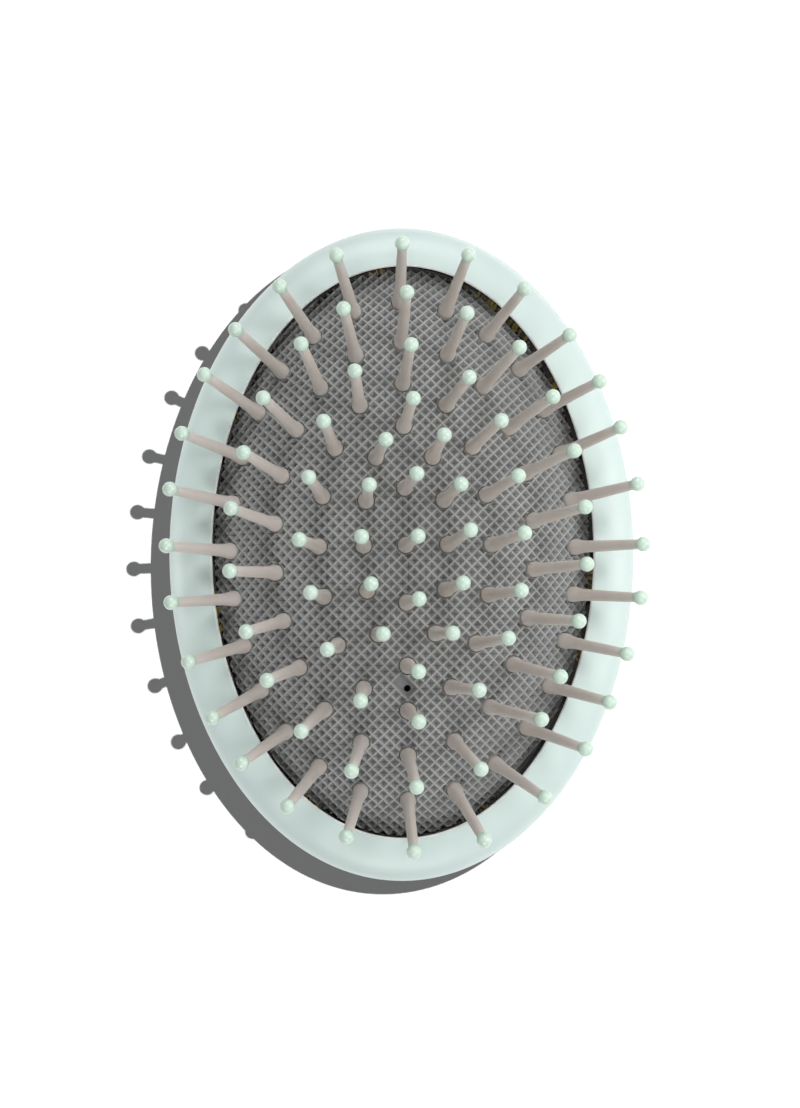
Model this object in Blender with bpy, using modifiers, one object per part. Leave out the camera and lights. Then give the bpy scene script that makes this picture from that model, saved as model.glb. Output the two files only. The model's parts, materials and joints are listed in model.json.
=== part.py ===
# Palm-held oval cushion brush: a two-part housing, a domed rubber cushion
# and 81 ball-tipped nylon pins moulded on strips that lie under the rubber.
# Metres, +Z up. The brush lies on its back with the pins up, its long side
# along Y, and the origin is the middle of the flat it rests on.
import math

import bmesh
import bpy
import numpy as np
from mathutils import Matrix, Vector

MM = 0.001

# Opening of the front frame, which every oval section is drawn from
OPENING_HALF_WIDTH = 32.8 * MM
OPENING_HALF_LENGTH = 49.3 * MM

# Housing
BEZEL_WIDTH = 7.5 * MM
SEAM_HEIGHT = 21.0 * MM
SEAM_GAP = 0.3 * MM
SKIRT_HEIGHT = 1.5 * MM
BEZEL_RISE = 3.8 * MM
BEZEL_CROWN_INSET = 1.3 * MM
BEZEL_EDGE_RADIUS = 0.45 * MM
BEZEL_DEPTH = 3.8 * MM
INNER_WALL = 1.8 * MM
FRAME_WALL = 2.0 * MM
SHELL_WALL = 2.2 * MM
TONGUE_HEIGHT = 1.3 * MM
TONGUE_WALL = 1.0 * MM
REST_INSET = 14.0 * MM
PLATE_LEDGE = 1.7 * MM
PLATE_LEDGE_HEIGHT = 0.8 * MM

# Rubber cushion
DOME_HEIGHT = 10.0 * MM
DOME_POWER = 3.0
DOME_STEPS = 7
CUSHION_GAP = 0.8 * MM
CUSHION_WALL = 1.6 * MM
CUSHION_SIDE = 1.4 * MM
LIP_REACH = 3.6 * MM
VENT_RADIUS = 0.6 * MM
VENT_PITCHES_IN = 2.5
DRILL_MARGIN = 2.0 * MM

# Glue line and the plate that closes the air chamber
GLUE_THICKNESS = 0.6 * MM
GLUE_REACH = 1.6 * MM
PLATE_THICKNESS = 1.4 * MM
PLATE_EDGE_CHAMFER = 0.3 * MM
RIB_DEPTH = 3.0 * MM
RIB_WIDTH = 1.2 * MM
RIB_SPACING = 20.0 * MM
RIBS_ACROSS = 4
RIB_MARGIN = 4.0 * MM

# Pins, measured along the pin from the rubber's face
PIN_LENGTH = 17.7 * MM
TIP_RADIUS = 1.25 * MM
TIP_CONE = 1.7 * MM
FOOT_RADIUS = 1.35 * MM
FOOT_HEIGHT = 0.7 * MM
NECK_RADIUS = 1.02 * MM
NECK_HEIGHT = 2.4 * MM
SHAFT_RADIUS = 0.82 * MM
PIN_SIDES = 7

# Pin pattern: ovals a constant pitch apart round one row in the middle.
# The insets run from the edge of the opening to the outer oval's feet.
PIN_INSET_ACROSS = 3.2 * MM
PIN_INSET_ALONG = 6.5 * MM
RING_PITCH = 7.5 * MM
RING_PINS = {"outer": 28, "second": 22, "third": 16, "inner": 12}
ROW_PINS = 3
ROW_SPACING = 9.7 * MM
PATTERN_TURN_DEGREES = 1.0
QUARTERS = ("top_left", "bottom_left", "bottom_right", "top_right")

# Strips that carry the pins under the rubber
STRIP_WIDTH = 3.0 * MM
STRIP_THICKNESS = 1.3 * MM
STRIP_OVERHANG = 2.2 * MM
STRIP_STEP = 3.0 * MM
ROOT_BITE = 0.8 * MM

CLEARANCE = 0.3 * MM

# Facets
OVAL_SEGMENTS = 48
OUTER_ARC_STEPS = 6
INNER_ARC_STEPS = 3
EDGE_ARC_STEPS = 2
OVAL_SAMPLES = 720
HOUSING_SMOOTH_DEGREES = 40
PIN_SMOOTH_DEGREES = 60
MERGE = 0.01 * MM

# Levels and sizes that follow from those above
SKIRT_TOP = SEAM_HEIGHT + SEAM_GAP + SKIRT_HEIGHT
BEZEL_TOP = SKIRT_TOP + BEZEL_RISE
FRAME_WALL_FOOT = BEZEL_TOP - BEZEL_DEPTH
LIP_TOP = FRAME_WALL_FOOT - GLUE_THICKNESS - 2 * CLEARANCE
RUBBER_RIM = LIP_TOP + CUSHION_SIDE
PLATE_TOP = LIP_TOP - CUSHION_WALL - CLEARANCE
LEDGE_TOP = PLATE_TOP - PLATE_THICKNESS - CLEARANCE
SKIRT_INSIDE = BEZEL_WIDTH - SHELL_WALL + TONGUE_WALL + CLEARANCE
DOME_HALF_WIDTH = OPENING_HALF_WIDTH - CUSHION_GAP
DOME_HALF_LENGTH = OPENING_HALF_LENGTH - CUSHION_GAP
STRIP_DEPTH = CUSHION_WALL + CLEARANCE
ROOT_DEPTH = STRIP_DEPTH + ROOT_BITE
RING_HALF_WIDTH = OPENING_HALF_WIDTH - PIN_INSET_ACROSS
RING_HALF_LENGTH = OPENING_HALF_LENGTH - PIN_INSET_ALONG
PATTERN_TURN = Matrix.Rotation(math.radians(PATTERN_TURN_DEGREES), 2)


def clear_scene():
    for obj in list(bpy.data.objects):
        bpy.data.objects.remove(obj, do_unlink=True)
    for old in list(bpy.data.collections):
        bpy.data.collections.remove(old)


def new_collection(name):
    made = bpy.data.collections.new(name)
    bpy.context.scene.collection.children.link(made)
    return made


def new_material(name, colour, roughness, metallic=0.0):
    made = bpy.data.materials.new(name)
    made.use_nodes = True
    shader = made.node_tree.nodes["Principled BSDF"]
    shader.inputs["Base Color"].default_value = (*colour, 1.0)
    shader.inputs["Roughness"].default_value = roughness
    shader.inputs["Metallic"].default_value = metallic
    return made


def object_from(bm, name, collection, material=None, smooth_degrees=HOUSING_SMOOTH_DEGREES):
    mesh = bpy.data.meshes.new(name)
    bm.to_mesh(mesh)
    bm.free()
    mesh.shade_smooth()
    mesh.set_sharp_from_angle(angle=math.radians(smooth_degrees))
    obj = bpy.data.objects.new(name, mesh)
    collection.objects.link(obj)
    if material:
        mesh.materials.append(material)
    return obj


def as_helper(obj):
    obj.hide_render = True
    obj.display_type = "WIRE"
    return obj


def offset_oval(offset, height):
    """One oval section, set off from the opening, as half width, half length and height."""
    return OPENING_HALF_WIDTH + offset, OPENING_HALF_LENGTH + offset, height


def loft(ovals, closed=False, first_cap=False, last_cap=False):
    """Skins a run of ovals of unlike proportion. A closed run is a ring with a hole."""
    bm = bmesh.new()
    loops = []
    for half_width, half_length, height in ovals:
        place = Matrix.Translation((0, 0, height)) @ Matrix.Diagonal((half_width, half_length, 1, 1))
        ring = bmesh.ops.create_circle(bm, segments=OVAL_SEGMENTS, radius=1.0, matrix=place)["verts"]
        loops.append(ring)
    followers = loops[1:] + loops[:1] if closed else loops[1:]
    for ring, following in zip(loops, followers):
        for i in range(OVAL_SEGMENTS):
            after = (i + 1) % OVAL_SEGMENTS
            bm.faces.new((ring[i], ring[after], following[after], following[i]))
    if first_cap:
        bm.faces.new(loops[0])
    if last_cap:
        bm.faces.new(loops[-1])
    bmesh.ops.recalc_face_normals(bm, faces=bm.faces[:])
    return bm


def quarter_arc(middle, reach, start_degrees, end_degrees, steps):
    """Points on an upright quarter of an ellipse, as offset and height."""
    points = []
    for i in range(steps + 1):
        angle = math.radians(start_degrees + (end_degrees - start_degrees) * i / steps)
        points.append((middle[0] + reach[0] * math.cos(angle), middle[1] + reach[1] * math.sin(angle)))
    return points


def back_shell(collection, material):
    bowl_middle = (-REST_INSET, SEAM_HEIGHT)
    bowl_width = BEZEL_WIDTH + REST_INSET
    outside = quarter_arc(bowl_middle, (bowl_width, -SEAM_HEIGHT), 90, 0, OUTER_ARC_STEPS)
    wall_inside = BEZEL_WIDTH - SHELL_WALL
    ledge_foot = LEDGE_TOP - PLATE_LEDGE_HEIGHT
    # the ledge's underside slopes down to the wall, so that the moulding leaves its tool
    bowl_depth = SEAM_HEIGHT - SHELL_WALL
    ledge_root = math.degrees(math.asin((SEAM_HEIGHT - ledge_foot + PLATE_LEDGE) / bowl_depth))
    inside = quarter_arc(bowl_middle, (bowl_width - SHELL_WALL, -bowl_depth), ledge_root, 90, INNER_ARC_STEPS)
    tongue = [
        (wall_inside + TONGUE_WALL, SEAM_HEIGHT),
        (wall_inside + TONGUE_WALL, SEAM_HEIGHT + TONGUE_HEIGHT),
        (wall_inside, SEAM_HEIGHT + TONGUE_HEIGHT),
    ]
    ledge = [
        (wall_inside, LEDGE_TOP),
        (wall_inside - PLATE_LEDGE, LEDGE_TOP),
        (wall_inside - PLATE_LEDGE, ledge_foot),
    ]
    section = outside + tongue + ledge + inside
    bm = loft([offset_oval(*point) for point in section], first_cap=True, last_cap=True)
    return object_from(bm, "back_shell", collection, material)


def front_frame(collection, material):
    seam = SEAM_HEIGHT + SEAM_GAP
    crown_reach = (BEZEL_WIDTH - BEZEL_CROWN_INSET, BEZEL_RISE)
    crown = quarter_arc((BEZEL_CROWN_INSET, SKIRT_TOP), crown_reach, 0, 90, OUTER_ARC_STEPS)
    edge_middle = (BEZEL_EDGE_RADIUS, BEZEL_TOP - BEZEL_EDGE_RADIUS)
    edge_reach = (-BEZEL_EDGE_RADIUS, BEZEL_EDGE_RADIUS)
    edge = quarter_arc(edge_middle, edge_reach, 90, 0, EDGE_ARC_STEPS)
    wall_foot = [(0, FRAME_WALL_FOOT), (INNER_WALL, FRAME_WALL_FOOT)]
    over_tongue = SEAM_HEIGHT + TONGUE_HEIGHT + CLEARANCE
    behind_tongue = SKIRT_INSIDE - TONGUE_WALL - 2 * CLEARANCE
    hollow_reach = (behind_tongue - INNER_WALL, BEZEL_TOP - FRAME_WALL - over_tongue)
    hollow = quarter_arc((INNER_WALL, over_tongue), hollow_reach, 90, 0, INNER_ARC_STEPS)
    lap = [(SKIRT_INSIDE, over_tongue), (SKIRT_INSIDE, seam)]
    section = [(BEZEL_WIDTH, seam)] + crown + edge + wall_foot + hollow + lap
    bm = loft([offset_oval(*point) for point in section], closed=True)
    return object_from(bm, "front_frame", collection, material)


def backing_plate(collection, cutters, material):
    reach = BEZEL_WIDTH - SHELL_WALL - CLEARANCE
    underside = PLATE_TOP - PLATE_THICKNESS
    section = [
        (reach - PLATE_EDGE_CHAMFER, underside),
        (reach, underside + PLATE_EDGE_CHAMFER),
        (reach, PLATE_TOP - PLATE_EDGE_CHAMFER),
        (reach - PLATE_EDGE_CHAMFER, PLATE_TOP),
    ]
    bm = loft([offset_oval(*point) for point in section], first_cap=True, last_cap=True)
    plate = object_from(bm, "backing_plate", collection, material)
    spine_length = 2 * (OPENING_HALF_LENGTH - RIB_MARGIN)
    bars = [((0, 0), (RIB_WIDTH, spine_length))]
    for i in range(RIBS_ACROSS):
        along = (i - (RIBS_ACROSS - 1) / 2) * RIB_SPACING
        narrowing = math.sqrt(1 - (along / OPENING_HALF_LENGTH) ** 2)
        bars.append(((0, along), (2 * (OPENING_HALF_WIDTH * narrowing - RIB_MARGIN), RIB_WIDTH)))
    rib_height = RIB_DEPTH + PLATE_THICKNESS / 2
    for number, (middle, size) in enumerate(bars):
        bm = bmesh.new()
        place = Matrix.Translation((*middle, underside + PLATE_THICKNESS / 2 - rib_height / 2))
        shape = Matrix.Diagonal((*size, rib_height, 1))
        bmesh.ops.create_cube(bm, size=1.0, matrix=place @ shape)
        rib = as_helper(object_from(bm, f"rib_{number}", cutters))
        boolean(plate, rib, "UNION")
    return plate


def glue_bead(collection, material):
    foot = LIP_TOP + CLEARANCE
    head = foot + GLUE_THICKNESS
    inner = CLEARANCE - CUSHION_GAP
    rounding = GLUE_THICKNESS / 3
    section = [
        (inner, foot),
        (GLUE_REACH, foot),
        (GLUE_REACH, head),
        (inner + rounding, head),
        (inner, head - rounding),
    ]
    bm = loft([offset_oval(*point) for point in section], closed=True)
    return object_from(bm, "adhesive_bead", collection, material)


def dome_point(x, y):
    """Height of the rubber's face over x, y, and the direction square to it."""
    share = math.hypot(x / DOME_HALF_WIDTH, y / DOME_HALF_LENGTH)
    height = RUBBER_RIM + DOME_HEIGHT * (1 - share**DOME_POWER)
    fall = DOME_HEIGHT * DOME_POWER * share ** (DOME_POWER - 2)
    square = Vector((fall * x / DOME_HALF_WIDTH**2, fall * y / DOME_HALF_LENGTH**2, 1.0))
    return Vector((x, y, height)), square.normalized()


def cushion(collection, cutters, material, pin_places):
    ovals = []
    for step in range(1, DOME_STEPS + 1):
        # closer together towards the rim, where the dome bends most
        share = (step / DOME_STEPS) ** (2 / DOME_POWER)
        height = RUBBER_RIM + DOME_HEIGHT * (1 - share**DOME_POWER)
        ovals.append((DOME_HALF_WIDTH * share, DOME_HALF_LENGTH * share, height))
    ovals.append(offset_oval(-CUSHION_GAP, LIP_TOP))
    ovals.append(offset_oval(LIP_REACH, LIP_TOP))
    bm = loft(ovals, first_cap=True)
    crown_face = max(bm.faces, key=lambda face: face.calc_center_median().z)
    if crown_face.normal.z < 0:
        bmesh.ops.reverse_faces(bm, faces=bm.faces[:])
    obj = object_from(bm, "cushion", collection, material)
    add_wall(obj, CUSHION_WALL)
    holes = bmesh.new()
    for foot, square in pin_places:
        add_drill(holes, foot, square, FOOT_RADIUS + CLEARANCE)
    # the vent lies half way between two ovals of pins
    vent = PATTERN_TURN @ Vector((0, VENT_PITCHES_IN * RING_PITCH - RING_HALF_LENGTH))
    add_drill(holes, *dome_point(*vent), VENT_RADIUS)
    drills = as_helper(object_from(holes, "pin_hole_drills", cutters))
    boolean(obj, drills, "DIFFERENCE")
    return obj


def add_drill(bm, foot, square, radius):
    reach = CUSHION_WALL + DRILL_MARGIN
    aim = square.to_track_quat("Z", "Y").to_matrix().to_4x4()
    place = Matrix.Translation(foot) @ aim
    bmesh.ops.create_cone(
        bm, cap_ends=True, segments=PIN_SIDES, radius1=radius, radius2=radius, depth=2 * reach, matrix=place
    )


def pin_mesh(collection):
    """One pin with its ball tip, turned about Z, with the rubber's face at zero."""
    tip_middle = PIN_LENGTH - TIP_RADIUS
    profile = quarter_arc((0, tip_middle), (TIP_RADIUS, TIP_RADIUS), 90, 0, EDGE_ARC_STEPS)
    profile += [
        (SHAFT_RADIUS, tip_middle - TIP_CONE),
        (NECK_RADIUS, NECK_HEIGHT),
        (FOOT_RADIUS, FOOT_HEIGHT),
        (FOOT_RADIUS, -ROOT_DEPTH),
        (0, -ROOT_DEPTH),
    ]
    mesh = bpy.data.meshes.new("pin_profile")
    mesh.from_pydata([(r, 0, z) for r, z in profile], [(i, i + 1) for i in range(len(profile) - 1)], [])
    guide = bpy.data.objects.new("pin_profile", mesh)
    collection.objects.link(guide)
    turning = guide.modifiers.new("turn", "SCREW")
    turning.steps = PIN_SIDES
    turning.render_steps = PIN_SIDES
    turning.use_merge_vertices = True
    turning.merge_threshold = MERGE
    turned = bpy.data.meshes.new_from_object(guide.evaluated_get(bpy.context.evaluated_depsgraph_get()))
    bpy.data.objects.remove(guide, do_unlink=True)
    return turned


def oval_walk(half_width, half_length):
    """A function from a share of the way round the oval to its point, from the top, to the left first."""
    angles = np.linspace(0, 2 * math.pi, OVAL_SAMPLES + 1)
    xs = -half_width * np.sin(angles)
    ys = half_length * np.cos(angles)
    way = np.concatenate(([0.0], np.cumsum(np.hypot(np.diff(xs), np.diff(ys)))))

    def point(share):
        angle = np.interp((share % 1.0) * way[-1], way, angles)
        return Vector((-half_width * math.sin(angle), half_length * math.cos(angle)))

    return point, float(way[-1])


def row_walk(half_row):
    """The same for the straight row in the middle, from its top end to its bottom end."""

    def point(share):
        return Vector((0.0, half_row - 2 * half_row * share))

    return point, 2 * half_row


def pin_rows():
    """Each strip's name, the ring it is in, its path, the path's ends and its pins' shares of the path."""
    strips = []
    for number, (ring, count) in enumerate(RING_PINS.items()):
        inset = number * RING_PITCH
        point, length = oval_walk(RING_HALF_WIDTH - inset, RING_HALF_LENGTH - inset)
        overhang = STRIP_OVERHANG / length
        for quarter, side in enumerate(QUARTERS):
            first = math.ceil(count * quarter / 4)
            last = math.ceil(count * (quarter + 1) / 4) - 1
            shares = [pin / count for pin in range(first, last + 1)]
            ends = (shares[0] - overhang, shares[-1] + overhang)
            strips.append((f"pin_strip_{ring}_{side}", ring, point, length, ends, shares))
    half_row = ROW_SPACING * (ROW_PINS - 1) / 2
    point, length = row_walk(half_row)
    shares = [pin / (ROW_PINS - 1) for pin in range(ROW_PINS)]
    ends = (-STRIP_OVERHANG / length, 1 + STRIP_OVERHANG / length)
    strips.append(("pin_strip_centre", "centre", point, length, ends, shares))
    return strips


def pin_place(point, share):
    return dome_point(*(PATTERN_TURN @ point(share)))


def strip_band(point, length, ends):
    """The band under the rubber that a strip follows, as an open surface."""
    span = ends[1] - ends[0]
    steps = round(span * length / STRIP_STEP)
    half_step = span / steps / 2
    bm = bmesh.new()
    edges = []
    for i in range(steps + 1):
        share = ends[0] + span * i / steps
        along = point(share + half_step) - point(share - half_step)
        aside = along.normalized().orthogonal() * STRIP_WIDTH / 2
        pair = []
        for flank in (point(share) - aside, point(share) + aside):
            face, square = dome_point(*(PATTERN_TURN @ flank))
            pair.append(bm.verts.new(face - square * STRIP_DEPTH))
        edges.append(pair)
    for near, far in zip(edges, edges[1:]):
        bm.faces.new((near[0], near[1], far[1], far[0]))
    bmesh.ops.recalc_face_normals(bm, faces=bm.faces[:])
    if sum(face.normal.z for face in bm.faces) < 0:
        bmesh.ops.reverse_faces(bm, faces=bm.faces[:])
    return bm


def add_wall(obj, thickness):
    """Turns a face into a wall that lies below it."""
    wall = obj.modifiers.new("wall", "SOLIDIFY")
    wall.thickness = thickness
    wall.offset = -1
    wall.use_even_offset = True


def boolean(obj, other, operation):
    cut = obj.modifiers.new(operation.lower(), "BOOLEAN")
    cut.operation = operation
    cut.solver = "EXACT"
    cut.object = other
    return cut


def pin_strip(name, collection, cutters, material, turned_pin, point, length, ends, shares):
    strip = object_from(strip_band(point, length, ends), name, collection, material)
    add_wall(strip, STRIP_THICKNESS)
    pins = bmesh.new()
    for share in shares:
        foot, square = pin_place(point, share)
        one = turned_pin.copy()
        one.transform(Matrix.Translation(foot) @ square.to_track_quat("Z", "Y").to_matrix().to_4x4())
        pins.from_mesh(one)
        bpy.data.meshes.remove(one)
    helper = as_helper(object_from(pins, name.replace("strip", "set"), cutters, material, PIN_SMOOTH_DEGREES))
    boolean(strip, helper, "UNION")
    return strip


def main():
    clear_scene()
    brush = new_collection("scalp_massage_brush")
    cutters = new_collection("cutters")
    cutters.hide_render = True
    mint = new_material("mint_plastic", (0.62, 0.74, 0.70), 0.32)
    inner_plastic = new_material("inner_plastic", (0.72, 0.74, 0.73), 0.5)
    rubber = new_material("grey_rubber", (0.13, 0.13, 0.13), 0.7)
    glue = new_material("amber_glue", (0.35, 0.22, 0.05), 0.35)
    nylon = new_material("mauve_nylon", (0.42, 0.37, 0.35), 0.42)

    back_shell(brush, mint)
    front_frame(brush, mint)
    backing_plate(brush, cutters, inner_plastic)
    glue_bead(brush, glue)

    strips = pin_rows()
    places = [pin_place(point, share) for _, _, point, _, _, shares in strips for share in shares]
    cushion(brush, cutters, rubber, places)
    turned_pin = pin_mesh(cutters)
    ring_guides = {}
    for name, ring, point, length, ends, shares in strips:
        if ring not in ring_guides:
            ring_guides[ring] = bpy.data.objects.new(f"{ring}_press_guide", None)
            brush.objects.link(ring_guides[ring])
        strip = pin_strip(name, brush, cutters, nylon, turned_pin, point, length, ends, shares)
        strip.parent = ring_guides[ring]
    print(len(places), "pins on", len(strips), "strips")


main()
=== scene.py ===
import json
import math

import bmesh
import bpy
import numpy as np
from mathutils import Matrix, Vector

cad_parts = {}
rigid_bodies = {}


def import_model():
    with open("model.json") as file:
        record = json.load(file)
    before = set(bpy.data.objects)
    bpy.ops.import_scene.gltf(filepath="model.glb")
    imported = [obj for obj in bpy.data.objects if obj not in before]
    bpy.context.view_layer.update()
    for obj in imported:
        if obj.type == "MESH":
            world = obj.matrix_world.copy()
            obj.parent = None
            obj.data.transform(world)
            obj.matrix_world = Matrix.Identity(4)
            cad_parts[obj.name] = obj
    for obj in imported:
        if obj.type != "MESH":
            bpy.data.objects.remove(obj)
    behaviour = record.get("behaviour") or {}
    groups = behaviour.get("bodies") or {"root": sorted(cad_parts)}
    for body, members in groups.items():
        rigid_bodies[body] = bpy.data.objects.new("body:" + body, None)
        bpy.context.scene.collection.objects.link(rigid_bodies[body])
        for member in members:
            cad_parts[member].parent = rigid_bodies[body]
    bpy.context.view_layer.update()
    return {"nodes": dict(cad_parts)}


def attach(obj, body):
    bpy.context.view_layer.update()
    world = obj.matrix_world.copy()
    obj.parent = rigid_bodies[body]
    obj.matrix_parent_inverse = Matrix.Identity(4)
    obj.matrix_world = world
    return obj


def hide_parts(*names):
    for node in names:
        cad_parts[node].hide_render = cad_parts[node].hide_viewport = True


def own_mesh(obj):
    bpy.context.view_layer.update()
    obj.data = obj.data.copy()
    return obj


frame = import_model()
mm = 0.001
print("frame loaded")


# Small helpers for working in edit mode

def deselectAll():
    if bpy.context.object and bpy.context.object.mode != "OBJECT":
        bpy.ops.object.mode_set(mode="OBJECT")
    for obj in bpy.context.selected_objects:
        obj.select_set(False)


def makeActive(obj):
    deselectAll()
    obj.select_set(True)
    bpy.context.view_layer.objects.active = obj


def startPiece(name):
    # the primitive that was just added, opened in edit mode with all of it selected
    obj = bpy.context.object
    obj.name = name
    obj.data.name = name
    bpy.ops.object.mode_set(mode="EDIT")
    bpy.ops.mesh.select_all(action="SELECT")
    return obj


def endPiece(obj):
    bpy.ops.object.mode_set(mode="OBJECT")
    makeActive(obj)
    bpy.ops.object.transform_apply(location=True, rotation=True, scale=True)


def selectWhere(obj, kind, test):
    # picks vertices, edges or faces of the piece in edit mode by a test on each
    bpy.ops.mesh.select_mode(type=kind)
    bpy.ops.mesh.select_all(action="DESELECT")
    bm = bmesh.from_edit_mesh(obj.data)
    for item in {"VERT": bm.verts, "EDGE": bm.edges, "FACE": bm.faces}[kind]:
        item.select_set(test(item))
    bm.select_flush_mode()
    bmesh.update_edit_mesh(obj.data)


def applyModifier(obj, kind, **settings):
    makeActive(obj)
    modifier = obj.modifiers.new("work", kind)
    for key, value in settings.items():
        setattr(modifier, key, value)
    bpy.ops.object.modifier_apply(modifier=modifier.name)


def cutWith(obj, tool, operation):
    applyModifier(obj, "BOOLEAN", object=tool, operation=operation, solver="EXACT")
    bpy.data.objects.remove(tool, do_unlink=True)


def smoothByAngle(obj, degrees):
    makeActive(obj)
    bpy.ops.object.shade_smooth_by_angle(angle=math.radians(degrees))


def joinPieces(pieces, name):
    deselectAll()
    for piece in pieces:
        piece.select_set(True)
    bpy.context.view_layer.objects.active = pieces[0]
    bpy.ops.object.join()
    pieces[0].name = name
    pieces[0].data.name = name
    return pieces[0]


# Materials

def newMaterial(name):
    made = bpy.data.materials.new(name)
    made.use_nodes = True
    shader = made.node_tree.nodes["Principled BSDF"]
    return made, made.node_tree.nodes, made.node_tree.links, shader


def addNoise(nodes, links, scale, detail=3.0, roughness=0.5):
    place = nodes.new("ShaderNodeTexCoord")
    noise = nodes.new("ShaderNodeTexNoise")
    noise.inputs["Scale"].default_value = scale
    noise.inputs["Detail"].default_value = detail
    noise.inputs["Roughness"].default_value = roughness
    links.new(place.outputs["Object"], noise.inputs["Vector"])
    return noise.outputs["Fac"]


def addRange(nodes, links, source, low, high, outLow, outHigh):
    spread = nodes.new("ShaderNodeMapRange")
    spread.inputs["From Min"].default_value = low
    spread.inputs["From Max"].default_value = high
    spread.inputs["To Min"].default_value = outLow
    spread.inputs["To Max"].default_value = outHigh
    links.new(source, spread.inputs["Value"])
    return spread.outputs["Result"]


def addMix(nodes, links, factor, first, second):
    mix = nodes.new("ShaderNodeMix")
    mix.data_type = "RGBA"
    links.new(factor, mix.inputs["Factor"])
    for socket, value in ((mix.inputs["A"], first), (mix.inputs["B"], second)):
        if isinstance(value, tuple):
            socket.default_value = (*value, 1.0)
        else:
            links.new(value, socket)
    return mix.outputs["Result"]


def addBlend(nodes, links, source, low, high, first, second, most=1.0):
    # goes from the first colour toward the second while the source goes from low to high
    return addMix(nodes, links, addRange(nodes, links, source, low, high, 0.0, most), first, second)


def addRoughness(nodes, links, grain, shader, span):
    links.new(addRange(nodes, links, grain, 0.3, 0.7, *span), shader.inputs["Roughness"])


def addBump(nodes, links, height, shader, look):
    bump = nodes.new("ShaderNodeBump")
    bump.inputs["Strength"].default_value = look["bump"]
    bump.inputs["Distance"].default_value = look["bumpDepth"] * mm
    links.new(height, bump.inputs["Height"])
    links.new(bump.outputs["Normal"], shader.inputs["Normal"])


def addScatter(shader, look):
    # some light goes a little way into the plastic and comes out again
    shader.inputs["Subsurface Weight"].default_value = look["scatter"]
    shader.inputs["Subsurface Radius"].default_value = look["scatterTint"]
    shader.inputs["Subsurface Scale"].default_value = look["scatterDepth"] * mm


mintShell = {
    "colour": (0.682, 0.800, 0.768),
    "flow": (0.657, 0.782, 0.751),
    # rim: a paler colour painted on the frame's thin inner edge as a highlight
    "rim": (0.93, 0.97, 0.96),
    "flowScale": 55.0, "grainScale": 2600.0, "bump": 0.05, "bumpDepth": 0.02,
    "roughness": (0.34, 0.42),
    "coat": 0.12, "coatRoughness": 0.25,
    "scatter": 0.06, "scatterTint": (0.8, 1.0, 0.9), "scatterDepth": 0.6,
}


def makeMintPlastic():
    made, nodes, links, shader = newMaterial("satinMintPlastic")
    flow = addNoise(nodes, links, mintShell["flowScale"], 2.0)
    colour = addBlend(nodes, links, flow, 0.35, 0.65, mintShell["colour"], mintShell["flow"])
    # the thin inner edge gets the paler painted highlight, by the rim mark
    rim = nodes.new("ShaderNodeAttribute")
    rim.attribute_name = "rim"
    edgeHighlighted = addMix(nodes, links, rim.outputs["Fac"], colour, mintShell["rim"])
    links.new(edgeHighlighted, shader.inputs["Base Color"])
    grain = addNoise(nodes, links, mintShell["grainScale"], 2.0, 0.6)
    addRoughness(nodes, links, grain, shader, mintShell["roughness"])
    addBump(nodes, links, grain, shader, mintShell)
    shader.inputs["Coat Weight"].default_value = mintShell["coat"]
    shader.inputs["Coat Roughness"].default_value = mintShell["coatRoughness"]
    addScatter(shader, mintShell)
    return made


mintTip = {
    "colour": (0.745, 0.925, 0.800),
    "deep": (0.710, 0.900, 0.760),
    "cloudScale": 420.0, "grainScale": 3500.0, "bump": 0.06, "bumpDepth": 0.02,
    "roughness": (0.18, 0.25),
    "specular": 0.7,
    "scatter": 0.15, "scatterTint": (0.9, 1.0, 0.9), "scatterDepth": 0.5,
}


def makeTipPaint():
    made, nodes, links, shader = newMaterial("mintBallTip")
    cloud = addNoise(nodes, links, mintTip["cloudScale"], 2.0)
    colour = addBlend(nodes, links, cloud, 0.35, 0.65, mintTip["colour"], mintTip["deep"])
    links.new(colour, shader.inputs["Base Color"])
    grain = addNoise(nodes, links, mintTip["grainScale"], 2.0)
    addRoughness(nodes, links, grain, shader, mintTip["roughness"])
    addBump(nodes, links, grain, shader, mintTip)
    shader.inputs["Specular IOR Level"].default_value = mintTip["specular"]
    addScatter(shader, mintTip)
    return made


mauvePin = {
    "colour": (0.692, 0.641, 0.600),
    "warm": (0.672, 0.618, 0.570),
    "driftScale": 260.0, "grainScale": 2400.0, "bump": 0.08, "bumpDepth": 0.03,
    "roughness": (0.42, 0.54),
    "specular": 0.6,
    "scatter": 0.5, "scatterTint": (1.0, 0.88, 0.75), "scatterDepth": 0.6,
}


def makePinNylon():
    made, nodes, links, shader = newMaterial("mauveNylon")
    drift = addNoise(nodes, links, mauvePin["driftScale"], 2.0)
    colour = addBlend(nodes, links, drift, 0.35, 0.65, mauvePin["colour"], mauvePin["warm"])
    links.new(colour, shader.inputs["Base Color"])
    grain = addNoise(nodes, links, mauvePin["grainScale"], 3.0)
    addRoughness(nodes, links, grain, shader, mauvePin["roughness"])
    addBump(nodes, links, grain, shader, mauvePin)
    shader.inputs["Specular IOR Level"].default_value = mauvePin["specular"]
    addScatter(shader, mauvePin)
    return made


rubberFace = {
    # the pit colour is painted shade on the pits' floors, the ridge colour a painted highlight on the
    # ridges' tops
    "pitShade": (0.285, 0.288, 0.292),
    "slope": (0.352, 0.355, 0.357),
    "ridge": (0.455, 0.462, 0.444),
    "dust": (0.36, 0.365, 0.36), "mostDust": 0.35,
    "fineScale": 1500.0, "bump": 0.25, "bumpDepth": 0.05,
    "roughness": (0.42, 0.54),
    "specular": 0.35,
}


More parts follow.
